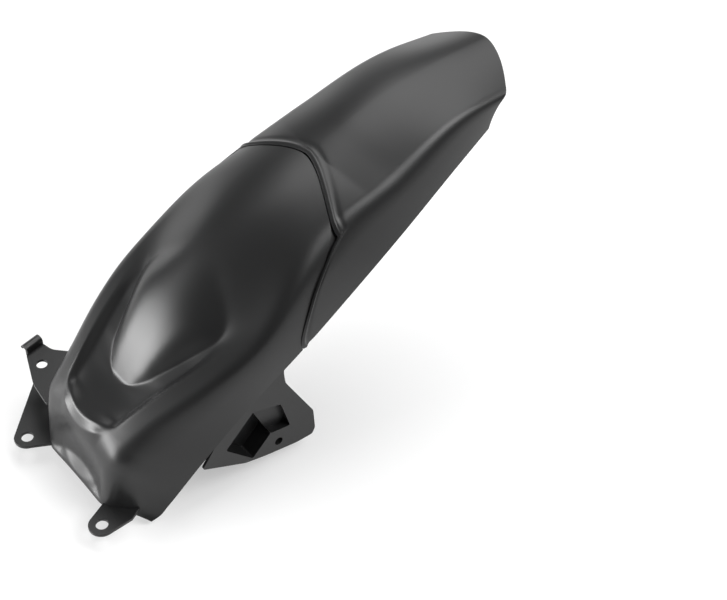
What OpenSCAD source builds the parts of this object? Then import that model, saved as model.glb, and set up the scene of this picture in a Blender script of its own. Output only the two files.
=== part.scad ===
// Rear mudguard of a motorcycle, in two mouldings: a front section that wraps the front and
// top of the wheel, and a rear extension bonded under its trailing edge.
// X runs to the rear and Z up. The origin lies midway between the two front mounting holes.
// The shell is lofted along a line that climbs to the rear at loft_tilt. A point of the loft
// is [along, y, out]: its station on that line, its side offset and its height above it.

/* [Shell] */
// Half width of the shell where it is widest
half_w = 106; // [98:1:114]
// Length from the front holes to the rear tip
tip_x = 513; // [490:1:540]
// Height of the rear tip above the front holes
tip_z = 287; // [275:1:300]
// Wall thickness of both mouldings
wall = 3; // [2:0.25:4]
// Radius of the crown over the wheel
crown_r = 330; // [320:1:345]

/* [Relief] */
// Width of the chamfer round the recess on the nose
band_w = 7; // [4:0.5:10]
// Depth of the recess along its arms
band_drop = 4; // [2:0.5:6]

/* [Front tabs] */
// Distance between the two front mounting holes
front_hole_span = 136; // [130:1:142]
// Radius of the front mounting holes
front_hole_r = 6; // [4:0.25:7]
// Radius of the rounded ends of the front tabs
tab_end_r = 13; // [11:0.5:15]
// Thickness of the tabs and of the side bracket
tab_t = 3; // [2:0.25:4]

// Height of the upper tab over the front tabs
upper_tab_z = 40; // [36:1:44]
// Radius of the hole in the upper tab
upper_hole_r = 5.5; // [4:0.25:6]
// Height of the lip that guides the brake hose
lip_rise = 5; // [3:0.5:7]
// Outer radius of the roll of that lip
lip_r = 5; // [4.5:0.25:6]

/* [Side bracket] */
// How far the bracket plate stands in from the widest point of the shell
bracket_inset = 14; // [12:0.5:15]
// Depth of the pocket in the bracket
pocket_deep = 18; // [12:1:24]
// Depth of the shallow side of that pocket
shelf_deep = 8; // [6:0.5:10]
// Depth of the boss behind the bracket hole
boss_deep = 8; // [4:0.5:10]
// Radius of the hole in the bracket
bracket_hole_r = 4.5; // [3:0.25:5]

/* [Extension] */
// Length of the tongue that lies under the front section
tongue = 22; // [15:1:30]
// Width of the open seam between the mouldings
seam_gap = 1.2; // [0.8:0.1:2]

/* [Hidden] */
loft_tilt = 45;
lay = 0.9;
bracket_y = half_w - bracket_inset;

// Places on the loft of a point given by its side view and half width
function lofted(x, y, z) = [x * cos(loft_tilt) + z * sin(loft_tilt), y,
                            z * cos(loft_tilt) - x * sin(loft_tilt)];
function placed(p) = [p[0] * cos(loft_tilt) - p[2] * sin(loft_tilt), p[1],
                      p[0] * sin(loft_tilt) + p[2] * cos(loft_tilt)];

// Shoulder of the shell, from the front lip to the rear corner
shoulder = [
    lofted(13, 0.458 * half_w, 1),
    lofted(22.6, 0.572 * half_w, 48),
    lofted(28, 0.61 * half_w, 60.4),
    lofted(40.5, 0.644 * half_w, 71),
    lofted(58.7, 0.72 * half_w, 86.7),
    lofted(102.4, 0.9 * half_w, 120.3),
    lofted(160, half_w, 157.5),
    lofted(232.7, 0.842 * half_w, 207),
    lofted(267, 0.736 * half_w, 221),
    lofted(341.5, 0.692 * half_w, 242.5),
    lofted(tip_x - 68, 0.606 * half_w, tip_z - 18),
    lofted(tip_x - 23, 0.572 * half_w, tip_z - 21)
];

// Lower edge of the shell
lower_edge = [
    lofted(26.5, 0.775 * half_w, -5),
    lofted(42.2, 0.78 * half_w, -16),
    lofted(54, 0.79 * half_w, -13.5),
    lofted(96.5, 0.885 * half_w, 39),
    lofted(154.3, 0.92 * half_w, 86.3),
    lofted(211, 0.925 * half_w, 126.7),
    lofted(276, 0.875 * half_w, 162),
    lofted(336.5, 0.779 * half_w, 199),
    lofted(tip_x - 107, 0.668 * half_w, tip_z - 61),
    lofted(tip_x - 48, 0.586 * half_w, tip_z - 51)
];

// Ridge of the extension on the centre plane
ridge = [
    lofted(302, 0, 254),
    lofted(325, 0, 262),
    lofted(350, 0, 270.5),
    lofted(394, 0, 281),
    lofted(tip_x - 52, 0, tip_z),
    lofted(tip_x, 0, tip_z)
];

// Slope and value of a smooth curve through points, read at station a, field k
function step_slope(p, i, k) = (p[i + 1][k] - p[i][k]) / (p[i + 1][0] - p[i][0]);
function knot_slope(p, i, k) =
    i == 0 ? step_slope(p, 0, k)
    : i == len(p) - 1 ? step_slope(p, i - 1, k)
    : (step_slope(p, i - 1, k) * (p[i + 1][0] - p[i][0])
       + step_slope(p, i, k) * (p[i][0] - p[i - 1][0])) / (p[i + 1][0] - p[i - 1][0]);
function knot_before(p, a, i = 0) = i >= len(p) - 2 || a < p[i + 1][0] ? i : knot_before(p, a, i + 1);
function curve_at(p, a, k) =
    let (i = knot_before(p, a), w = p[i + 1][0] - p[i][0], s = (a - p[i][0]) / w)
    s < 0 ? p[0][k] + (a - p[0][0]) * knot_slope(p, 0, k)
    : s > 1 ? p[i + 1][k] + (a - p[i + 1][0]) * knot_slope(p, i + 1, k)
    : (1 + 2 * s) * (1 - s) * (1 - s) * p[i][k] + s * s * (3 - 2 * s) * p[i + 1][k]
      + w * s * (1 - s) * ((1 - s) * knot_slope(p, i, k) - s * knot_slope(p, i + 1, k));

function mix(a, b, w) = a * (1 - w) + b * w;
function clamp01(w) = min(1, max(0, w));
function ease(w) = let (c = clamp01(w)) c * c * (3 - 2 * c);

// Stations of the nose: rim, front lip, lower side of the chamfer, its upper side, foot of the dome
rim = lofted(13.6, 0, -2);
lip = lofted(13.6, 0, 1);
nose_top = lofted(28.5, 0, 73);
shelf = lofted(35.5, 0, 85);
dome_foot = lofted(74.2, 0, 87.6);
nose_corner = lofted(33, 0.343 * half_w, 77.5);
arm_end = lofted(159, 0.692 * half_w, 155.5);
seam_tip = ridge[0];
nose_line = [rim, lip, lofted(22, 0, 38), nose_top, shelf, dome_foot];

// Crown that runs round the wheel from the foot of the dome to the tip of the seam
crown_half = norm(seam_tip - dome_foot) / 2;
crown_mid = (seam_tip + dome_foot) / 2;
crown_dir = (seam_tip - dome_foot) / (2 * crown_half);
crown_rise = sqrt(crown_r * crown_r - crown_half * crown_half);
crown_c = crown_mid + crown_rise * [crown_dir[2], 0, -crown_dir[0]];
function crown_out(a) = crown_c[2] + sqrt(crown_r * crown_r - pow(a - crown_c[0], 2));

// Half width and height of the recess arms, which run out into the plain crown
arm_line = [[lip[0], 0.3 * half_w, lip[2]], nose_corner, arm_end, [240, 0.731 * half_w, -7.8],
            [310, 0.62 * half_w, -8.5]];
// Half width of the dome
dome_line = [
    [dome_foot[0], 0.06 * half_w],
    [dome_foot[0] + 6, 0.17 * half_w],
    [dome_foot[0] + 16, 0.27 * half_w],
    [dome_foot[0] + 43, 0.42 * half_w],
    [dome_foot[0] + 76, 0.57 * half_w],
    [arm_end[0], 0.68 * half_w],
    [240, 0.725 * half_w],
    [310, 0.615 * half_w]
];
// How far the lower line of the recess bows to the rear at its corners
nose_bow = nose_corner[0] - nose_top[0];
// Depth of the recess floor below the arms, on the centre and beside the arms
foot_dip = curve_at(arm_line, dome_foot[0], 2) - dome_foot[2];
function floor_dip(a) = mix(foot_dip, 0, ease((a - dome_foot[0]) / (arm_end[0] - dome_foot[0])));
function arm_drop(a) = band_drop * ease((a - nose_corner[0]) / 12)
    * ease((arm_end[0] + 8 - a) / 60);
function line_at(p, a) = let (i = knot_before(p, a)) p[i][2] + (a - p[i][0]) * step_slope(p, i, 2);

// Height of the nose line, which turns up beside the dome with a rounding, at a bow to the rear
foot_turn = 0.77;
foot_r = 9;
function nose_out(a, bow) =
    (a - bow < dome_foot[0] ? line_at(nose_line, a - bow) : curve_at(arm_line, a, 2) - floor_dip(a))
    + foot_turn * pow(max(0, foot_r - abs(a - bow - dome_foot[0])), 2) / (4 * foot_r);
// Height of the nose and of the recess floor at a share f of the way out to the arm
function floor_out(a, f) = nose_out(a, nose_bow * f * f)
    + f * f * (curve_at(arm_line, a, 2) - arm_drop(a) - nose_out(a, nose_bow));

// Facet over the front lip: its lens shape comes from a reach that shrinks to the sides
flare_half = 0.443 * half_w;
flare_reach = 16;
flare_deep = 5.8;
function lip_flare(a, y) =
    let (lens = clamp01(1 - pow(y / flare_half, 2)), s = a - lip[0])
    [0, 0, -flare_deep * lens * clamp01(s / max(0.1, flare_reach * lens)) * ease((48 - s) / 34)];

// The front section is read by v: 0 to 1 the dome, to 2 the floor, to 3 the chamfer,
// to 4 the strip out to the shoulder, to 5 the flank down to the lower edge
function front_inner(a, v) =
    let (ya = curve_at(arm_line, a, 1), yd = min(curve_at(dome_line, max(a, dome_foot[0]), 1), ya - 1),
         yb = max(yd + 0.5, ya - band_w * ease((a - lip[0]) / 50) - 0.5),
         ha = curve_at(arm_line, a, 2), fd = floor_out(a, yd / ya))
    v <= 1 ? [a, v * yd, a < dome_foot[0] ? floor_out(a, v * yd / ya)
                         : fd + max(0, crown_out(a) - fd) * (1 - pow(v, mix(2.4, 2, ease((a - 150) / 60))))]
    : v <= 2 ? let (y = mix(yd, yb, v - 1)) [a, y, floor_out(a, y / ya)]
    : [a, mix(yb, ya, v - 2), mix(floor_out(a, yb / ya), ha, v - 2)];
function strip(a, w) =
    let (ya = curve_at(arm_line, a, 1), ys = curve_at(shoulder, a, 1),
         ha = curve_at(arm_line, a, 2), hs = curve_at(shoulder, a, 2), k = 2 * ya / (ys + ya))
    [a, mix(ya, ys, w), ha + (hs - ha) * (k * w + (1 - k) * w * w)];
function flank(a, w) =
    let (s = [a, curve_at(shoulder, a, 1), curve_at(shoulder, a, 2)],
         e = [a, curve_at(lower_edge, a, 1), curve_at(lower_edge, a, 2)])
    mix(s, e, w) + [0, 5 * w * (1 - w), 0];
function rounded(p, c, q, s) = mix(mix(p, c, s), mix(c, q, s), s);
function share(v) = v <= 3 ? 0.23 * v : mix(0.69, 1, clamp01(v - 3));

// Shallow hollow of the wings, as deep as the arms where these end, which then fades
arm_u = arm_end[1] / curve_at(shoulder, arm_end[0], 1);
arm_sink = mix(crown_out(arm_end[0]), curve_at(shoulder, arm_end[0], 2), arm_u * arm_u) - arm_end[2];
function wing_dip(a, u) = arm_sink * ease((345 - a) / 115) * u * u * (1 - u * u)
    / (arm_u * arm_u * (1 - arm_u * arm_u));
// Plain shell: a round crown over the wheel, which sharpens to a ridge towards the rear
function plain_crown(a, u) =
    let (ys = curve_at(shoulder, a, 1), hs = curve_at(shoulder, a, 2),
         hc = a < seam_tip[0] ? crown_out(a) : curve_at(ridge, a, 2),
         p = mix(2, 1.35, ease((a - 350) / 110)))
    [a, u * ys, hc + (hs - hc) * pow(u, p) - wing_dip(a, u)];
// Crown of the whole shell: the relief of the nose, which fades into the plain crown
function crown_at(a, v) =
    let (w = ease((a - arm_end[0] + 18) / 66), plain = plain_crown(a, share(v)),
         relief = v <= 3 ? front_inner(a, v) : strip(a, v - 3))
    w >= 1 ? plain : mix(relief + lip_flare(a, relief[1]), plain, w);
// The shoulder is rounded between the shares of the strip and of the flank next to it
function shell_at(a, v) =
    let (nose = ease((a - 55) / 60), turn = ease((a - 300) / 80),
         r0 = mix(mix(0.18, 0.35, nose), 0.22, turn), r1 = mix(mix(0.12, 0.3, nose), 0.12, turn))
    v <= 4 - r0 ? crown_at(a, v)
    : v >= 4 + r1 ? flank(a, v - 4)
    : rounded(crown_at(a, 4 - r0), crown_at(a, 4), flank(a, r1), (v - 4 + r0) / (r0 + r1));

// Stations of the seam and of the rear end
seam_mid = seam_tip[0] - 5.6;
function seam_a(v) = v <= 4 ? mix(seam_mid, 346, pow(share(v), 1.6))
    : mix(346, 240, 1 - pow(max(0, 5 - v), 1.8));
// Half of the seam along the loft: more on the flank, where the seam runs aslant
function seam_half(v) = seam_gap / 2 * (1 + 2.6 * ease((v - 3.9) / 0.2) * min(1, 5 - v));
rear_tip = lofted(tip_x, 0, tip_z);
function rear_a(v) = v <= 4 ? mix(rear_tip[0], 533, pow(share(v), 1.8))
    : mix(533, 497, v - 4) + 12 * (v - 4) * (5 - v);

// Stations of one column of the front section
function front_keys(v) =
    let (f = share(min(v, 3)) / 0.69, bow = nose_bow * f * f, low = clamp01(v - 4))
    [mix(rim[0], 15.2, low), mix(lip[0], 17.9, low), nose_top[0] + bow, shelf[0] + bow,
     dome_foot[0] + bow, mix(arm_end[0], 180, low), seam_a(v) - seam_half(v)];
front_rows = [1, 7, 1, 3, 12, 11];
front_t = [for (k = [0:5]) for (i = [0:front_rows[k] - 1]) k + i / front_rows[k], 6];
function key_at(keys, t) = let (k = min(5, floor(t))) mix(keys[k], keys[k + 1], t - k);
half_v = [0, 0.25, 0.5, 0.75, 1, 1.33, 1.67, 2, 2.98, 3.35, 3.65, 3.82, 4, 4.15, 4.3, 4.55, 4.8, 5];
columns = [for (i = [len(half_v) - 1:-1:1]) -half_v[i], each half_v];
function sided(p, v) = [p[0], v < 0 ? -p[1] : p[1], p[2]];

front_grid = [for (t = front_t) [for (v = columns)
    placed(sided(shell_at(key_at(front_keys(abs(v)), t), abs(v)), v))]];

rear_t = [-tongue, -tongue / 2, -seam_gap / 2, 0, 2, 4, 7, each [for (i = [1:14]) 7 + i]];
function rear_station(v, t) =
    t < 0 ? seam_a(v) + seam_half(v) + t * mix(1, 0.15, clamp01(v - 4))
    : t <= 7 ? seam_a(v) + seam_half(v) + t
    : mix(seam_a(v) + seam_half(v) + 7, rear_a(v), (t - 7) / 14);
rear_grid = [for (t = rear_t) [for (v = columns)
    placed(sided(shell_at(rear_station(abs(v), t), abs(v)), v))]];

// Outward normal of a grid, taken from the neighbours of each point
function grid_normal(g, i, j) =
    let (along = g[min(i + 1, len(g) - 1)][j] - g[max(i - 1, 0)][j],
         across = g[i][min(j + 1, len(g[0]) - 1)] - g[i][max(j - 1, 0)],
         n = cross(along, across))
    n / norm(n);

// Closed shell between two offsets of a grid, each given for a row
module shell(grid, top, under) {
    rows = len(grid);
    cols = len(grid[0]);
    skin = [for (i = [0:rows - 1]) for (j = [0:cols - 1])
        grid[i][j] + grid_normal(grid, i, j) * top[i]];
    lining = [for (i = [0:rows - 1]) for (j = [0:cols - 1])
        grid[i][j] + grid_normal(grid, i, j) * under[i]];
    n = rows * cols;
    quads = [for (i = [0:rows - 2]) for (j = [0:cols - 2])
        [i * cols + j, i * cols + j + 1, (i + 1) * cols + j + 1, (i + 1) * cols + j]];
    border = [
        for (j = [0:cols - 2]) [j, j + 1],
        for (i = [0:rows - 2]) [i * cols + cols - 1, (i + 1) * cols + cols - 1],
        for (j = [cols - 1:-1:1]) [(rows - 1) * cols + j, (rows - 1) * cols + j - 1],
        for (i = [rows - 1:-1:1]) [i * cols, (i - 1) * cols]
    ];
    polyhedron(concat(skin, lining), [
        for (q = quads) each [[q[0], q[1], q[2]], [q[0], q[2], q[3]]],
        for (q = quads) each [[n + q[0], n + q[2], n + q[1]], [n + q[0], n + q[3], n + q[2]]],
        for (b = border) each [[b[1], b[0], n + b[0]], [b[1], n + b[0], n + b[1]]]
    ], convexity = 8);
}

// Plate of the tabs, centred on the height of their holes
module plate(height, t = tab_t) {
    translate([0, 0, height - t / 2]) linear_extrude(t) children();
}

// Front tabs, each a rounded ear with its root inside the shell
module right_tab() {
    plate(0) {
        translate([0, -front_hole_span / 2]) circle(tab_end_r, $fn = 64);
        polygon([[-6, -front_hole_span / 2 + 11.5], [17, -46], [36, -60], [38, -74], [26, -80],
                 [1, -front_hole_span / 2 - 13]]);
    }
}
module left_tab() {
    plate(0) {
        translate([0, front_hole_span / 2]) circle(tab_end_r, $fn = 64);
        polygon([[-4, front_hole_span / 2 - 12.4], [14, 46], [60, 60], [70, 100], [56, 126],
                 [41, 126], [-8.5, front_hole_span / 2 + 9.8]]);
    }
}

// Upper tab on the left, with the rolled lip that guides the brake hose
module upper_tab() {
    plate(upper_tab_z) polygon([[22, 58], [26, 91], [40.5, 128.5], [60.5, 132.5], [64, 119],
                                [73, 110], [96, 84], [60, 60]]);
    translate([41, 130, upper_tab_z - tab_t / 2]) rotate([0, 0, atan2(4, 20)]) hose_lip();
}
module hose_lip() {
    rotate([90, 0, 90]) linear_extrude(20.4) {
        translate([-tab_t, 0]) square([tab_t, lip_rise + tab_t / 2]);
        intersection() {
            translate([lip_r - tab_t, lip_rise + tab_t / 2]) difference() {
                circle(lip_r, $fn = 64);
                circle(lip_r - tab_t, $fn = 64);
            }
            translate([-tab_t - 1, lip_rise + tab_t / 2]) square([2 * lip_r + 2, lip_r + 1]);
        }
    }
}

// Side bracket: a plate under the right edge of the shell, with a pocket in two depths pressed
// into it and a boss behind its hole
bracket_outline = [[98, 33], [119, 22], [146, 8], [170, 2], [206, -4.5], [225, -5], [228.5, 2],
                   [227, 28], [196, 88], [194.5, 104], [202, 130], [190, 130], [140, 92]];
deep_side = [[125, 41], [154, 9], [176, 30], [158, 73]];
shallow_side = [[158, 73], [176, 30], [199, 26], [189.5, 62]];
bracket_hole = [185, 12];
boss_wall = 3;
function edge_unit(p, i) = let (d = p[(i + 1) % len(p)] - p[i]) d / norm(d);
function grown(p, d) = [for (i = [0:len(p) - 1])
    let (u = edge_unit(p, (i + len(p) - 1) % len(p)), w = edge_unit(p, i),
         m = [u[1] + w[1], -u[0] - w[0]])
    p[i] + m * d / (1 + u * w)];
// Block that stands from the front face of the plate to a depth behind its back
module behind_plate(deep, front = tab_t) {
    translate([0, deep - bracket_y, 0]) rotate([90, 0, 0]) linear_extrude(deep + front) children();
}
module side_bracket() {
    difference() {
        union() {
            behind_plate(0) polygon(bracket_outline);
            behind_plate(pocket_deep) polygon(grown(deep_side, 2.5));
            behind_plate(shelf_deep) polygon(grown(shallow_side, 2.5));
            behind_plate(boss_deep) translate(bracket_hole)
                circle(bracket_hole_r + boss_wall, $fn = 48);
        }
        behind_plate(pocket_deep - 2.5, tab_t + 1) polygon(deep_side);
        behind_plate(shelf_deep - 2.5, tab_t + 1) polygon(shallow_side);
    }
}

module front_fender() {
    color("dimgray") difference() {
        resize([0, 0, 0]) union() {
            shell(front_grid, [for (t = front_t) 0], [for (t = front_t) -wall]);
            right_tab();
            left_tab();
            upper_tab();
            side_bracket();
        }
        for (side = [-1, 1]) translate([0, side * front_hole_span / 2, -tab_t])
            cylinder(r = front_hole_r, h = 2 * tab_t, $fn = 64);
        translate([46, 108, upper_tab_z - tab_t]) cylinder(r = upper_hole_r, h = 2 * tab_t, $fn = 64);
        translate([bracket_hole[0], boss_deep + 1 - bracket_y, bracket_hole[1]]) rotate([90, 0, 0])
            cylinder(r = bracket_hole_r, h = boss_deep + tab_t + 2, $fn = 64);
    }
}

module rear_extension() {
    color("gray") shell(rear_grid, [for (t = rear_t) t < 0 ? -wall - lay : 0],
        [for (t = rear_t) t < 0 ? -wall - lay - 2 : -wall]);
}

front_fender();
rear_extension();
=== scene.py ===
"""Dresses the rear mudguard: smooth satin black mouldings on a pale floor under soft studio light.

The two mouldings are built again here as fine meshes from the same rules as the solids:
a shell lofted along a line that climbs to the rear, between rails for the shoulder, the
lower edge and the ridge. Sizes are in millimetres and are scaled to metres at the end.
"""

import math

import bpy
import numpy as np
from mathutils import Matrix, Vector


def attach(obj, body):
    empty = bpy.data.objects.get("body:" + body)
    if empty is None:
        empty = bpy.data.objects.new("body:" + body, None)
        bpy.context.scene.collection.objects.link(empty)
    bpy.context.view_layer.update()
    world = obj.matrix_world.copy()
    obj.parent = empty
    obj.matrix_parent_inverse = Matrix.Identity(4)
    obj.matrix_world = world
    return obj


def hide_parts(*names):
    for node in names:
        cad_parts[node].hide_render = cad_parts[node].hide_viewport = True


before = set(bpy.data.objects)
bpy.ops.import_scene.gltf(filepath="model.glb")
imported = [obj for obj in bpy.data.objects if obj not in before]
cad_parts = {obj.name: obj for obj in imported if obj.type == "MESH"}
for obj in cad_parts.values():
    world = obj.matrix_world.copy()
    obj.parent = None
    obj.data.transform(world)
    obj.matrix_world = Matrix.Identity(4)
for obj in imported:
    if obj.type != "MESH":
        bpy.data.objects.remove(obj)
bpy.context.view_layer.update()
MM = 0.001

# Driving sizes, the same as those of the solids
HALF_W = 106.0
TIP_X, TIP_Z = 513.0, 287.0
WALL = 3.0
CROWN_R = 330.0
BAND_W = 7.0
BAND_DROP = 5.5
TONGUE = 22.0
TONGUE_T = 2.0
SEAM_GAP = 1.2
LAY = 0.9                          # space between the tongue and the wall over it
TILT = math.radians(45)            # slope of the line along which the shell is lofted
FOOT_TURN, FOOT_R = 0.33, 16.0     # change of slope and rounding of the floor at the dome's foot
FLARE_HALF, FLARE_REACH, FLARE_DEPTH = 47.0, 16.0, 8.5
SEAM_SIDE_A, SEAM_END_A = 346.0, 240.0    # stations of the seam at the shoulder and the lower edge
REAR_SIDE_A, REAR_END_A = 533.0, 497.0    # the same for the rear end


def lofted(x, y, z):
    """Station, side offset and height on the loft of a point of the side view."""
    return (x * math.cos(TILT) + z * math.sin(TILT), y, z * math.cos(TILT) - x * math.sin(TILT))


def placed(a, y, h):
    """The opposite of lofted, for arrays."""
    return np.stack([a * math.cos(TILT) - h * math.sin(TILT), y,
                     a * math.sin(TILT) + h * math.cos(TILT)], -1)


SHOULDER = np.array([
    lofted(13, 0.458 * HALF_W, 1), lofted(22.6, 0.572 * HALF_W, 48),
    lofted(28, 0.61 * HALF_W, 60.4),
    lofted(40.5, 0.644 * HALF_W, 71), lofted(59.4, 0.692 * HALF_W, 86),
    lofted(104.5, 0.839 * HALF_W, 118.2), lofted(162.1, 0.939 * HALF_W, 155.4),
    lofted(233.4, 0.828 * HALF_W, 206.3), lofted(266.3, 0.75 * HALF_W, 221.7),
    lofted(340.8, 0.711 * HALF_W, 243.2),
    lofted(TIP_X - 68, 0.606 * HALF_W, TIP_Z - 18), lofted(TIP_X - 23, 0.572 * HALF_W, TIP_Z - 21)])
LOWER_EDGE = np.array([
    lofted(44, 0.78 * HALF_W, -14.7), lofted(53, 0.785 * HALF_W, -13), lofted(62, 0.8 * HALF_W, -4),
    lofted(96.5, 0.885 * HALF_W, 39), lofted(154.3, 0.92 * HALF_W, 86.3),
    lofted(213.8, 0.934 * HALF_W, 123.9), lofted(279.2, 0.889 * HALF_W, 158.8),
    lofted(345.7, 0.807 * HALF_W, 189.8), lofted(TIP_X - 100, 0.696 * HALF_W, TIP_Z - 68),
    lofted(TIP_X - 48, 0.586 * HALF_W, TIP_Z - 51)])
RIDGE = np.array([
    lofted(302, 0, 254), lofted(325, 0, 262), lofted(350, 0, 270.5), lofted(394, 0, 281),
    lofted(TIP_X - 52, 0, TIP_Z), lofted(TIP_X, 0, TIP_Z)])


def curve_at(p, a, k):
    """Field k of the smooth curve through points p, at stations a."""
    a = np.asarray(a, float)
    x, f = p[:, 0], p[:, k]
    step = np.diff(f) / np.diff(x)
    dx = np.diff(x)
    inner = (step[:-1] * dx[1:] + step[1:] * dx[:-1]) / (dx[:-1] + dx[1:])
    knot = np.concatenate([[step[0]], inner, [step[-1]]])
    i = np.clip(np.searchsorted(x, a, side="right") - 1, 0, len(x) - 2)
    w = dx[i]
    s = (a - x[i]) / w
    inside = ((1 + 2 * s) * (1 - s) ** 2 * f[i] + s * s * (3 - 2 * s) * f[i + 1]
              + w * s * (1 - s) * ((1 - s) * knot[i] - s * knot[i + 1]))
    before = f[0] + (a - x[0]) * knot[0]
    after = f[-1] + (a - x[-1]) * knot[-1]
    return np.where(s < 0, before, np.where(s > 1, after, inside))


def line_at(p, a, k=2):
    """Field k on the straight stretches between points p, carried on past the last."""
    a = np.asarray(a, float)
    x, f = p[:, 0], p[:, k]
    i = np.clip(np.searchsorted(x, a, side="right") - 1, 0, len(x) - 2)
    return f[i] + (a - x[i]) * (f[i + 1] - f[i]) / (x[i + 1] - x[i])


def mix(a, b, w):
    return a * (1 - w) + b * w


def ease(w):
    c = np.clip(w, 0, 1)
    return c * c * (3 - 2 * c)


RIM = lofted(13.6, 0, -2)
LIP = lofted(13.6, 0, 1)
NOSE_TOP = lofted(21.8, 0, 66.3)
SHELF = lofted(28.4, 0, 77.9)
DOME_FOOT = lofted(71.4, 0, 94)
NOSE_CORNER = lofted(33, 0.343 * HALF_W, 77.5)
ARM_END = lofted(159, 0.692 * HALF_W, 155.5)
SEAM_TIP = RIDGE[0]
NOSE_LINE = np.array([RIM, LIP, lofted(19, 0, 38), NOSE_TOP, SHELF, DOME_FOOT])
ARM_LINE = np.array([(LIP[0], 0.3 * HALF_W, LIP[2]), NOSE_CORNER, (88, 0.387 * HALF_W, 30.6),
                     (110, 0.45 * HALF_W, 28.3), (140, 0.533 * HALF_W, 22.6),
                     (180, 0.634 * HALF_W, 11.2), ARM_END, (240, 0.731 * HALF_W, -7.8),
                     (310, 0.62 * HALF_W, -8.5)])
DOME_LINE = np.array([(DOME_FOOT[0], 0.06 * HALF_W), (DOME_FOOT[0] + 5, 0.15 * HALF_W),
                      (DOME_FOOT[0] + 14, 0.235 * HALF_W), (DOME_FOOT[0] + 38, 0.36 * HALF_W),
                      (DOME_FOOT[0] + 73, 0.5 * HALF_W), (ARM_END[0], 0.62 * HALF_W),
                      (240, 0.68 * HALF_W), (310, 0.6 * HALF_W)])
NOSE_BOW = NOSE_CORNER[0] - NOSE_TOP[0]
FOOT_DIP = float(curve_at(ARM_LINE, DOME_FOOT[0], 2)) - DOME_FOOT[2]

crown_chord = np.array([SEAM_TIP[0] - DOME_FOOT[0], SEAM_TIP[2] - DOME_FOOT[2]])
crown_half = np.hypot(*crown_chord) / 2
crown_rise = math.sqrt(CROWN_R ** 2 - crown_half ** 2)
CROWN_C = (np.array([SEAM_TIP[0] + DOME_FOOT[0], SEAM_TIP[2] + DOME_FOOT[2]]) / 2
           + crown_rise * np.array([crown_chord[1], -crown_chord[0]]) / (2 * crown_half))


def crown_out(a):
    return CROWN_C[1] + np.sqrt(np.maximum(1, CROWN_R ** 2 - (a - CROWN_C[0]) ** 2))


def floor_dip(a):
    return mix(FOOT_DIP, 0, ease((a - DOME_FOOT[0]) / (ARM_END[0] - DOME_FOOT[0])))


def arm_drop(a):
    return BAND_DROP * ease((a - NOSE_CORNER[0]) / 12) * ease((ARM_END[0] + 8 - a) / 60)


def floor_bend(a):
    """Rounding of the floor where it turns up beside the dome."""
    return FOOT_TURN * np.clip(FOOT_R - abs(a - DOME_FOOT[0]), 0, None) ** 2 / (4 * FOOT_R)


def floor_mid(a, bow):
    """Height of the nose and of the recess floor along a line that lies further back by bow."""
    start = DOME_FOOT[0] + bow
    step = DOME_FOOT[2] - curve_at(ARM_LINE, start, 2) + floor_dip(start)
    beyond = curve_at(ARM_LINE, a, 2) - floor_dip(a) + step * ease((start + 60 - a) / 60)
    return np.where(a < start, line_at(NOSE_LINE, a - bow), beyond) + floor_bend(a - bow)


def floor_out(a, f):
    """Height of the nose and of the recess floor at a share f of the way out to the arm."""
    arm = curve_at(ARM_LINE, a, 2) - arm_drop(a)
    return floor_mid(a, NOSE_BOW * f * f) + f * f * (arm - floor_mid(a, NOSE_BOW))


def lip_flare(a, y):
    """Facet over the front lip: its lens shape comes from a reach that shrinks to the sides."""
    lens = np.clip(1 - (y / FLARE_HALF) ** 2, 0, 1)
    s = a - LIP[0]
    rise = np.clip(s / np.maximum(0.1, FLARE_REACH * lens), 0, 1)
    return -FLARE_DEPTH * lens * rise * ease((48 - s) / 34)


def front_inner(a, v):
    """Dome, floor and chamfer of the relief: v is 0 to 1, 1 to 2 and 2 to 3."""
    ya = curve_at(ARM_LINE, a, 1)
    ha = curve_at(ARM_LINE, a, 2)
    yd = np.minimum(curve_at(DOME_LINE, np.maximum(a, DOME_FOOT[0]), 1), ya - 1)
    yb = np.maximum(yd + 0.5, ya - BAND_W * ease((a - LIP[0]) / 50) - 0.5)
    foot = floor_out(a, yd / ya)
    y = np.where(v <= 1, v * yd, np.where(v <= 2, mix(yd, yb, v - 1), mix(yb, ya, v - 2)))
    floor = floor_out(a, y / ya)
    flatness = mix(3.6, 2, ease((a - 190) / 70))
    rise = np.maximum(0, crown_out(a) - foot)
    dome = np.where(a < DOME_FOOT[0], floor, foot + rise * (1 - v ** flatness))
    chamfer = mix(floor_out(a, yb / ya), ha, v - 2)
    h = np.where(v <= 1, dome, np.where(v <= 2, floor, chamfer))
    return np.stack([a, y, h + lip_flare(a, y)], -1)


def strip(a, w):
    """Surface from the chamfer's outer edge to the shoulder."""
    ya, ys = curve_at(ARM_LINE, a, 1), curve_at(SHOULDER, a, 1)
    ha, hs = curve_at(ARM_LINE, a, 2), curve_at(SHOULDER, a, 2)
    k = 2 * ya / (ys + ya)
    y = mix(ya, ys, w)
    h = ha + (hs - ha) * (k * w + (1 - k) * w * w)
    return np.stack([a, y, h + lip_flare(a, y)], -1)


def flank(a, w):
    """Side wall from the shoulder to the lower edge; it starts at the front lower corner."""
    w3 = w[..., None]
    s = np.stack([a, curve_at(SHOULDER, a, 1), curve_at(SHOULDER, a, 2)], -1)
    b = np.maximum(a, LOWER_EDGE[0][0])
    e = np.stack([b, curve_at(LOWER_EDGE, b, 1), curve_at(LOWER_EDGE, b, 2)], -1)
    p = mix(s, e, w3)
    p[..., 1] += 5 * w * (1 - w)
    return p


def share(v):
    """Share of the half width at column v on the plain crown."""
    return np.where(v <= 3, 0.23 * v, mix(0.69, 1, np.clip(v - 3, 0, 1)))


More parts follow.
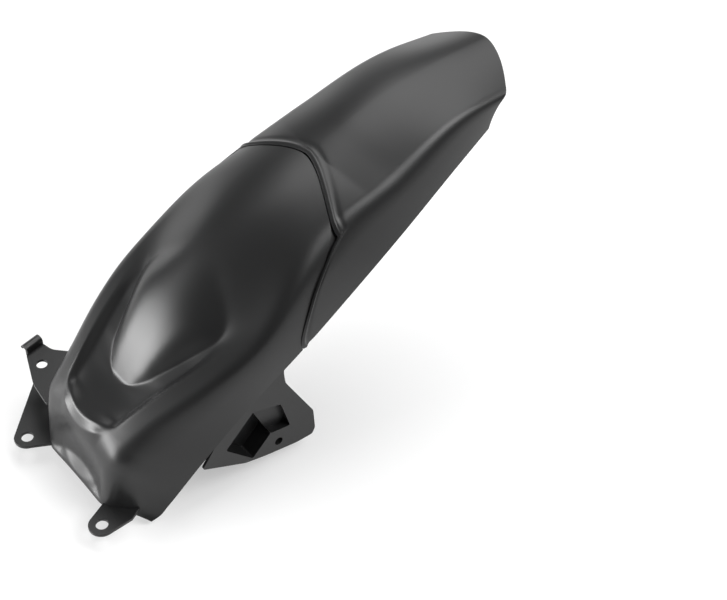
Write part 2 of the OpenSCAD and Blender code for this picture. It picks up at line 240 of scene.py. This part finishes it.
ARM_U = ARM_END[1] / float(curve_at(SHOULDER, ARM_END[0], 1))
ARM_SINK = (mix(float(crown_out(ARM_END[0])), float(curve_at(SHOULDER, ARM_END[0], 2)), ARM_U ** 2)
            - ARM_END[2])


def wing_dip(a, u):
    """Shallow hollow of the wings, as deep at the ends of the arms as the arms, and then fading."""
    return (ARM_SINK * ease((345 - a) / 115) * u * u * (1 - u * u)
            / (ARM_U ** 2 * (1 - ARM_U ** 2)))


def plain_crown(a, u):
    ys, hs = curve_at(SHOULDER, a, 1), curve_at(SHOULDER, a, 2)
    hc = np.where(a < SEAM_TIP[0], crown_out(a), curve_at(RIDGE, a, 2))
    p = mix(2, 1.7, ease((a - 350) / 110))
    return np.stack([a, u * ys, hc + (hs - hc) * u ** p - wing_dip(a, u)], -1)


def crown_at(a, v):
    w = ease((a - ARM_END[0] + 18) / 66)[..., None]
    relief = np.where((v <= 3)[..., None], front_inner(a, np.minimum(v, 3)),
                      strip(a, np.maximum(v - 3, 0)))
    return mix(relief, plain_crown(a, share(v)), w)


def shell_at(a, v):
    """Point of the shell at station a: v 0 to 3 the relief, to 4 the shoulder, to 5 the flank."""
    nose, tail = ease((a - 55) / 60), ease((a - 430) / 120)
    r0, r1 = mix(0.45, 0.4, tail), mix(mix(0.22, 0.35, nose), 0.3, tail)
    s = np.clip((v - 4 + r0) / (r0 + r1), 0, 1)[..., None]
    p, c, q = crown_at(a, 4 - r0), crown_at(a, np.full_like(a, 4.0)), flank(a, r1)
    corner = mix(mix(p, c, s), mix(c, q, s), s)
    on_crown = (v <= 4 - r0)[..., None]
    on_flank = (v >= 4 + r1)[..., None]
    return np.where(on_crown, crown_at(a, np.minimum(v, 4)),
                    np.where(on_flank, flank(a, np.maximum(v - 4, 0)), corner))


SEAM_MID = SEAM_TIP[0] - 5.6


def seam_a(v):
    w = np.clip(v - 4, 0, 1)
    return np.where(v <= 4, mix(SEAM_MID, SEAM_SIDE_A, share(v) ** 1.6),
                    mix(SEAM_SIDE_A, SEAM_END_A, 1 - (1 - w) ** 1.8))


def seam_half(v):
    """Half of the seam along the loft: more on the flank, where the seam runs aslant."""
    return SEAM_GAP / 2 * (1 + 2.6 * ease((v - 3.9) / 0.2) * np.minimum(1, 5 - v))


def rear_a(v):
    tip = lofted(TIP_X, 0, TIP_Z)[0]
    w = np.clip(v - 4, 0, 1)
    return np.where(v <= 4, mix(tip, REAR_SIDE_A, share(v) ** 1.8),
                    mix(REAR_SIDE_A, REAR_END_A, w) + 12 * w * (1 - w))


def spread(*spans):
    """Positions along spans of (start, end, steps), without the shared ends twice."""
    out = [np.linspace(a, b, n, endpoint=False) for a, b, n in spans]
    return np.concatenate(out + [[spans[-1][1]]])


# Columns over half the width: dome, floor, chamfer, strip, shoulder and flank
HALF_V = spread((0, 1, 24), (1, 2, 12), (2, 3, 7), (3, 3.6, 12), (3.6, 4.35, 18), (4.35, 5, 16))
COLUMNS = np.concatenate([-HALF_V[:0:-1], HALF_V])
FRONT_ROWS = [3, 46, 12, 24, 82, 74]
REAR_STEPS = spread((-TONGUE, -SEAM_GAP / 2, 8), (-SEAM_GAP / 2, 0, 3), (0, 14, 20))
REAR_ROWS = 90


def grid_of(stations):
    """Grid of placed points for a function that gives stations for the columns."""
    v = np.abs(COLUMNS)
    rows = []
    for a in stations(v):
        p = shell_at(a, v)
        y = np.where(COLUMNS < 0, -p[:, 1], p[:, 1])
        rows.append(placed(p[:, 0], y, p[:, 2]))
    return np.array(rows)


def front_stations(v):
    """Stations of the rows from the rim over nose, dome's foot and arms' ends to the seam."""
    f = share(np.minimum(v, 3)) / 0.69
    bow = NOSE_BOW * f * f
    low = np.clip(v - 4, 0, 1)
    corner = LOWER_EDGE[0][0]
    keys = [mix(RIM[0], corner, low), mix(LIP[0], corner + 1.5, low), NOSE_TOP[0] + bow,
            SHELF[0] + bow, DOME_FOOT[0] + bow, mix(ARM_END[0], 180, low), seam_a(v) - seam_half(v)]
    for k, n in enumerate(FRONT_ROWS):
        for i in range(n):
            yield mix(keys[k], keys[k + 1], i / n)
    yield keys[6]


def rear_stations(v):
    """Stations of the rows from the tongue's end over the seam to the rear end."""
    start = seam_a(v) + seam_half(v)
    for t in REAR_STEPS:
        yield start + t * (mix(1, 0.15, np.clip(v - 4, 0, 1)) if t < 0 else 1)
    for i in range(1, REAR_ROWS + 1):
        yield mix(start + REAR_STEPS[-1], rear_a(v), i / REAR_ROWS)


def softened(grid, passes, amount):
    """Rounds creases by passes of a small average, each row by its amount; the border stays."""
    g = grid.copy()
    w = amount[:, None, None]
    for _ in range(passes):
        g[1:-1] += w[1:-1] * (g[:-2] - 2 * g[1:-1] + g[2:]) / 4
        g[:, 1:-1] += w * (g[:, :-2] - 2 * g[:, 1:-1] + g[:, 2:]) / 4
    return g


def normals_of(g):
    along = np.gradient(g, axis=0)
    across = np.gradient(g, axis=1)
    n = np.cross(along, across)
    return n / np.linalg.norm(n, axis=-1, keepdims=True)


def shell_mesh(name, grid, top, under):
    """Closed shell between two offsets of a grid; the offsets are given for each point."""
    n = normals_of(grid)
    skin = (grid + n * top[..., None]).reshape(-1, 3)
    lining = (grid + n * under[..., None]).reshape(-1, 3)
    rows, cols = grid.shape[:2]
    count = rows * cols
    i = np.arange(count).reshape(rows, cols)
    quads = np.stack([i[:-1, :-1], i[:-1, 1:], i[1:, 1:], i[1:, :-1]], -1).reshape(-1, 4)
    ring = np.concatenate([i[0, :-1], i[:-1, -1], i[-1, :0:-1], i[:0:-1, 0]])
    nxt = np.roll(ring, -1)
    rim = np.stack([nxt, ring, ring + count, nxt + count], -1)
    faces = np.concatenate([quads, quads[:, ::-1] + count, rim])
    mesh = bpy.data.meshes.new(name)
    mesh.from_pydata((np.concatenate([skin, lining]) * MM).tolist(), [], faces.tolist())
    mesh.validate()
    mesh.update()
    mesh.shade_smooth()
    piece = bpy.data.objects.new(name, mesh)
    bpy.context.scene.collection.objects.link(piece)
    rounding = piece.modifiers.new("rim", "BEVEL")
    rounding.width = 0.5 * MM
    rounding.segments = 2
    rounding.limit_method = "ANGLE"
    rounding.angle_limit = math.radians(55)
    rounding.harden_normals = True
    return piece


def make_front():
    """Front moulding: crisp round the recess, and soft where the dome runs out into the crown."""
    grid = grid_of(front_stations)
    row = np.arange(len(grid))
    grid = softened(grid, 2, np.ones(len(row)))
    grid = softened(grid, 60, ease((row - 125) / 60))
    flat = np.zeros(grid.shape[:2])
    return shell_mesh("front_moulding", grid, flat, flat - WALL)


def make_rear():
    """Rear moulding, with a bead and a shallow groove behind the seam, and its tongue."""
    grid = grid_of(rear_stations)
    t = np.concatenate([REAR_STEPS, np.full(REAR_ROWS, 99.0)])[:, None] + np.zeros(grid.shape[:2])
    tongue = t < 0
    bead = 1.1 * np.exp(-((t - 3.2) / 1.9) ** 2) - 0.5 * np.exp(-((t - 8.5) / 3.0) ** 2)
    top = np.where(tongue, -WALL - LAY, bead)
    under = np.where(tongue, -WALL - LAY - TONGUE_T, -WALL)
    return shell_mesh("rear_moulding", grid, top, under)


def linked(name, verts, faces):
    """Object of the given mesh, placed in the scene."""
    mesh = bpy.data.meshes.new(name)
    mesh.from_pydata([tuple(v) for v in verts], [], faces)
    mesh.validate()
    mesh.update()
    piece = bpy.data.objects.new(name, mesh)
    bpy.context.scene.collection.objects.link(piece)
    return piece


def prism(name, outline, low, high, place=None):
    """Prism over an outline given in mm; place turns its points into points of the frame."""
    n = len(outline)
    place = place or (lambda x, y, z: (x, y, z))
    verts = [np.array(place(x, y, z)) * MM for z in (low, high) for x, y in outline]
    area = sum(outline[i - 1][0] * outline[i][1] - outline[i][0] * outline[i - 1][1]
               for i in range(n))
    faces = [list(range(n))[::-1], list(range(n, 2 * n))]
    faces += [[i, (i + 1) % n, n + (i + 1) % n, n + i] for i in range(n)]
    flips = area < 0
    a, b, c = (np.array(place(*p)) - np.array(place(0, 0, 0))
               for p in ((1, 0, 0), (0, 1, 0), (0, 0, 1)))
    if np.dot(np.cross(a, b), c) < 0:
        flips = not flips
    if flips:
        faces = [f[::-1] for f in faces]
    return linked(name, verts, faces)


def joined(piece, tools, operation):
    """Cuts the tools from a piece, or unites them with it, and removes the tools."""
    for tool in tools:
        step = piece.modifiers.new("step", "BOOLEAN")
        step.operation = operation
        step.solver = "EXACT"
        step.object = tool
        graph = bpy.context.evaluated_depsgraph_get()
        mesh = bpy.data.meshes.new_from_object(piece.evaluated_get(graph))
        piece.modifiers.clear()
        piece.data = mesh
        bpy.data.objects.remove(tool)
    return piece


def eased(piece, width, angle=30, segments=3):
    """Rounds the sharp edges of a piece and smooths its shading."""
    piece.data.shade_smooth()
    bevel = piece.modifiers.new("edges", "BEVEL")
    bevel.width = width * MM
    bevel.segments = segments
    bevel.limit_method = "ANGLE"
    bevel.angle_limit = math.radians(angle)
    bevel.harden_normals = True
    return piece


def arc(x, y, r, start, end, n=24):
    return [(x + r * math.cos(t), y + r * math.sin(t))
            for t in np.radians(np.linspace(start, end, n))]


def filleted(outline, r):
    """Outline with every corner rounded to about radius r."""
    p = [np.array(q, float) for q in outline]
    out = []
    for i in range(len(p)):
        before, here, after = p[i - 1], p[i], p[(i + 1) % len(p)]
        u, w = before - here, after - here
        cut = min(r, 0.45 * np.linalg.norm(u), 0.45 * np.linalg.norm(w))
        a, b = here + u / np.linalg.norm(u) * cut, here + w / np.linalg.norm(w) * cut
        for s in np.linspace(0, 1, 6):
            out.append(tuple(mix(mix(a, here, s), mix(here, b, s), s)))
    return out


def grown(outline, d):
    """Outline moved outward by d, for an outline that runs the same way as that of the solids."""
    p = [np.array(q, float) for q in outline]
    out = []
    for i in range(len(p)):
        u, w = p[i] - p[i - 1], p[(i + 1) % len(p)] - p[i]
        u, w = u / np.linalg.norm(u), w / np.linalg.norm(w)
        m = np.array([u[1] + w[1], -u[0] - w[0]])
        out.append(tuple(p[i] + m * d / (1 + u @ w)))
    return out


HOLE_SPAN, HOLE_R, TAB_R, TAB_T = 136.0, 6.0, 13.0, 3.0
UPPER_Z, UPPER_R = 40.0, 5.5
LIP_CORNER, LIP_RISE, LIP_R, LIP_LONG = (41, 130), 5.0, 5.0, 20.4
BRACKET_Y, POCKET_DEEP, BRACKET_R = 92.0, 18.0, 4.5
BRACKET_HOLE = (185, 12)


def hole(x, y, z, r, half, place=None):
    return prism("hole", arc(x, y, r, 0, 352.5, 48), z - half, z + half, place)


def make_right_tab():
    y = -HOLE_SPAN / 2
    outline = [(17, -46), (36, -60), (38, -74), (26, -80)] + arc(0, y, TAB_R, -85.6, -242.4, 40)
    tab = prism("right_tab", outline, -TAB_T / 2, TAB_T / 2)
    return eased(joined(tab, [hole(0, y, 0, HOLE_R, 5)], "DIFFERENCE"), 0.5)


def make_left_tab():
    y = HOLE_SPAN / 2
    outline = [(14, 46), (60, 60), (70, 100), (56, 126), (41, 126)]
    outline += arc(0, y, TAB_R, 130.9, 252.1, 40)
    tab = prism("left_tab", outline, -TAB_T / 2, TAB_T / 2)
    return eased(joined(tab, [hole(0, y, 0, HOLE_R, 5)], "DIFFERENCE"), 0.5)


def make_upper_tab():
    outline = filleted([(22, 58), (26, 91), LIP_CORNER, (61, 134), (64, 119), (73, 110), (96, 84),
                        (60, 60)], 5)
    tab = prism("upper_tab", outline, UPPER_Z - TAB_T / 2, UPPER_Z + TAB_T / 2)
    return eased(joined(tab, [hole(46, 108, UPPER_Z, UPPER_R, 5)], "DIFFERENCE"), 0.5)


def make_lip():
    """Lip that rolls back over the upper tab and guides the brake hose."""
    turn = math.atan2(4, 20)
    top = LIP_RISE + TAB_T / 2
    profile = [(-TAB_T, 0.3)] + arc(LIP_R - TAB_T, top, LIP_R, 180, 8, 26)
    profile += arc(LIP_R - TAB_T, top, LIP_R - TAB_T, 8, 180, 20) + [(0, 0.3)]

    def place(across, up, along):
        x = along * math.cos(turn) - across * math.sin(turn)
        y = along * math.sin(turn) + across * math.cos(turn)
        return (LIP_CORNER[0] + x, LIP_CORNER[1] + y, UPPER_Z - TAB_T / 2 + up)

    return eased(prism("hose_lip", profile, 0, LIP_LONG, place), 0.5)


BRACKET = [(98, 33), (119, 22), (146, 8), (170, 2), (206, -4.5), (225, -5), (228.5, 2), (227, 28),
           (196, 88), (194.5, 104), (202, 130), (190, 130), (140, 92)]
DEEP_POCKET = [(125, 41), (154, 9), (176, 30), (158, 73)]
SHALLOW_POCKET = [(158, 73), (176, 30), (199, 26), (189.5, 62)]
SHELF_DEEP, BOSS_DEEP, BOSS_WALL = 8.0, 8.0, 3.0


def make_bracket():
    """Plate under the right edge with a deep pocket, built lying down and stood up at its place."""
    def upright(x, z, out):
        return (x, -BRACKET_Y - out, z)

    deep, shallow = filleted(grown(DEEP_POCKET, 2.5), 3), filleted(grown(SHALLOW_POCKET, 2.5), 3)
    boss = arc(*BRACKET_HOLE, BRACKET_R + BOSS_WALL, 0, 352.5, 48)
    plate = prism("side_bracket", filleted(BRACKET, 3), 0, TAB_T, upright)
    joined(plate, [prism("tray", deep, -POCKET_DEEP, TAB_T - 0.4, upright),
                   prism("shelf", shallow, -SHELF_DEEP, TAB_T - 0.4, upright),
                   prism("boss", boss, -BOSS_DEEP, 1, upright)], "UNION")
    deep, shallow = filleted(DEEP_POCKET, 2.5), filleted(SHALLOW_POCKET, 2.5)
    joined(plate, [prism("room", deep, 2.5 - POCKET_DEEP, TAB_T + 4, upright),
                   prism("step", shallow, 2.5 - SHELF_DEEP, TAB_T + 4, upright),
                   hole(*BRACKET_HOLE, 0, BRACKET_R, 14, upright)], "DIFFERENCE")
    return eased(plate, 0.6)


def satin_black():
    """Moulded black plastic: a satin skin with a very fine grain."""
    m = bpy.data.materials.new("satin_black")
    m.use_nodes = True
    nodes, links = m.node_tree.nodes, m.node_tree.links
    skin = nodes["Principled BSDF"]
    skin.inputs["Base Color"].default_value = (0.008, 0.0081, 0.0083, 1)
    skin.inputs["Roughness"].default_value = 0.38
    skin.inputs["IOR"].default_value = 1.46
    where = nodes.new("ShaderNodeTexCoord")
    grain = nodes.new("ShaderNodeTexNoise")
    grain.inputs["Scale"].default_value = 1600
    grain.inputs["Detail"].default_value = 2
    relief = nodes.new("ShaderNodeBump")
    relief.inputs["Strength"].default_value = 0.12
    relief.inputs["Distance"].default_value = 0.0001
    links.new(where.outputs["Object"], grain.inputs["Vector"])
    links.new(grain.outputs["Fac"], relief.inputs["Height"])
    links.new(relief.outputs["Normal"], skin.inputs["Normal"])
    cloud = nodes.new("ShaderNodeTexNoise")
    cloud.inputs["Scale"].default_value = 24
    cloud.inputs["Detail"].default_value = 3
    span = nodes.new("ShaderNodeMapRange")
    span.inputs["To Min"].default_value = 0.355
    span.inputs["To Max"].default_value = 0.405
    links.new(where.outputs["Object"], cloud.inputs["Vector"])
    links.new(cloud.outputs["Fac"], span.inputs["Value"])
    links.new(span.outputs["Result"], skin.inputs["Roughness"])
    return m


def pale_floor():
    """Floor that looks white to the camera and in reflections, and plain grey to other light."""
    m = bpy.data.materials.new("pale_floor")
    m.use_nodes = True
    nodes, links = m.node_tree.nodes, m.node_tree.links
    nodes.clear()
    out = nodes.new("ShaderNodeOutputMaterial")
    paint = nodes.new("ShaderNodeBsdfDiffuse")
    paint.inputs["Color"].default_value = (0.5, 0.5, 0.5, 1)
    glow = nodes.new("ShaderNodeEmission")
    glow.inputs["Color"].default_value = (1, 1, 1, 1)
    glow.inputs["Strength"].default_value = 0.42
    both = nodes.new("ShaderNodeAddShader")
    seen = nodes.new("ShaderNodeLightPath")
    mirrored = nodes.new("ShaderNodeMath")
    mirrored.operation = "MAXIMUM"
    any_view = nodes.new("ShaderNodeMath")
    any_view.operation = "MAXIMUM"
    pick = nodes.new("ShaderNodeMixShader")
    links.new(paint.outputs["BSDF"], both.inputs[0])
    links.new(glow.outputs["Emission"], both.inputs[1])
    links.new(seen.outputs["Is Glossy Ray"], mirrored.inputs[0])
    links.new(seen.outputs["Is Transmission Ray"], mirrored.inputs[1])
    links.new(seen.outputs["Is Camera Ray"], any_view.inputs[0])
    links.new(mirrored.outputs["Value"], any_view.inputs[1])
    links.new(any_view.outputs["Value"], pick.inputs["Fac"])
    links.new(paint.outputs["BSDF"], pick.inputs[1])
    links.new(both.outputs["Shader"], pick.inputs[2])
    links.new(pick.outputs["Shader"], out.inputs["Surface"])
    return m


def softbox(name, towards, distance, width, height, radiance):
    """Area light in the direction given, turned to the middle of the part."""
    aim = Vector((0.22, 0, 0.12))
    place = aim + Vector(towards).normalized() * distance
    light = bpy.data.lights.new(name, "AREA")
    light.shape = "RECTANGLE"
    light.size, light.size_y = width, height
    light.energy = radiance * math.pi * width * height
    lamp = bpy.data.objects.new(name, light)
    lamp.location = place
    lamp.rotation_euler = (place - aim).to_track_quat("Z", "Y").to_euler()
    lamp.visible_camera = False
    bpy.context.scene.collection.objects.link(lamp)
    return lamp


material = satin_black()
front_pieces = [make_front(), make_right_tab(), make_left_tab(), make_upper_tab(), make_lip(),
                make_bracket()]
for piece in front_pieces:
    piece.data.materials.clear()
    piece.data.materials.append(material)
    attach(piece, "root")
    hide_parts("front_fender")
rear = make_rear()
rear.data.materials.append(material)
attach(rear, "root")
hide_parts("rear_extension")

floor = linked("floor", [(-6, -6, -0.0195), (6, -6, -0.0195), (6, 6, -0.0195), (-6, 6, -0.0195)],
               [[0, 1, 2, 3]])
floor.data.materials.append(pale_floor())

softbox("low_front_left", (-0.90, 0.41, 0.16), 1.7, 1.4, 0.6, 20)
softbox("low_left", (0.35, 1, 0.12), 2.2, 2.6, 0.6, 2)
softbox("overhead", (0.36, 0.22, 0.90), 1.9, 1.9, 1.6, 3.6)
softbox("rear_right", (0.40, -0.55, 0.68), 1.9, 1.2, 0.9, 8)

world = bpy.data.worlds.new("room")
world.use_nodes = True
world.node_tree.nodes["Background"].inputs["Color"].default_value = (1, 1, 1, 1)
world.node_tree.nodes["Background"].inputs["Strength"].default_value = 0.10
bpy.context.scene.world = world

camera = bpy.data.objects.new("camera", bpy.data.cameras.new("camera"))
bpy.context.scene.collection.objects.link(camera)
camera.data.sensor_fit = "HORIZONTAL"
camera.data.sensor_width = 36
camera.data.lens = 36 * 1800 / 727
camera.data.clip_start = 0.05
camera.data.clip_end = 40
back = Vector((-0.4353, -0.5572, 0.7071)).normalized()
right = Vector((0.7880, -0.6157, 0)).normalized()
up = back.cross(right)
turn = Matrix((right, up, back)).transposed()
camera.matrix_world = Matrix.Translation((-0.4476, -1.0374, 1.3367)) @ turn.to_4x4()
bpy.context.scene.camera = camera
bpy.context.scene.view_settings.view_transform = "Standard"
